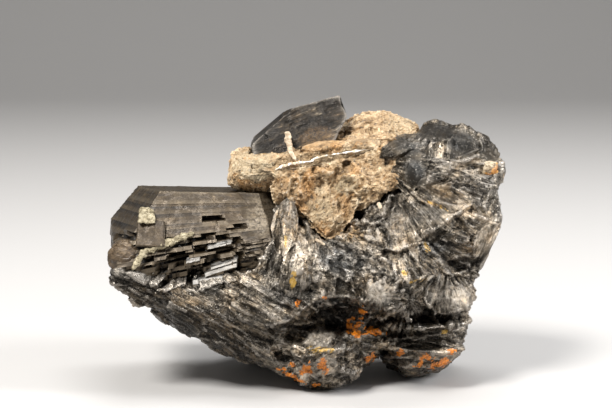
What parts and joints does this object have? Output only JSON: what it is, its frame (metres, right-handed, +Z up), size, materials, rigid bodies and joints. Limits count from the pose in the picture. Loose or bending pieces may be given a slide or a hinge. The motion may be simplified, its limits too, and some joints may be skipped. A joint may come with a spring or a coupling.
{
  "type": "pyrite and fluorite mineral specimen",
  "caption": "Dark grey lumpy pyrite with a block of stacked plates on one side and fans of blades on the other; tan grainy fluorite and a dark crystal fill the notch on top.",
  "frame": {"origin": "on the surface the specimen rests on, below the middle of its bounding box", "axes": "+Z up, +X to the right along the longest side, front towards -Y"},
  "size_m": [0.0678, 0.0398, 0.0476],
  "materials": {
    "pyrite_grey": "satin",
    "fluorite_tan": "matte",
    "pyrite_dark": "gloss",
    "seam_white": "gloss",
    "fluorite_cream": "satin",
    "crust_ochre": "matte"
  },
  "bodies": {
    "root": {"pyrite_mass": "pyrite_grey", "fluorite_filling": "fluorite_tan", "top_crystal": "pyrite_dark", "white_seam": "seam_white", "pale_crystal": "fluorite_cream", "crust_nub": "crust_ochre"}
  },
  "joints": []
}
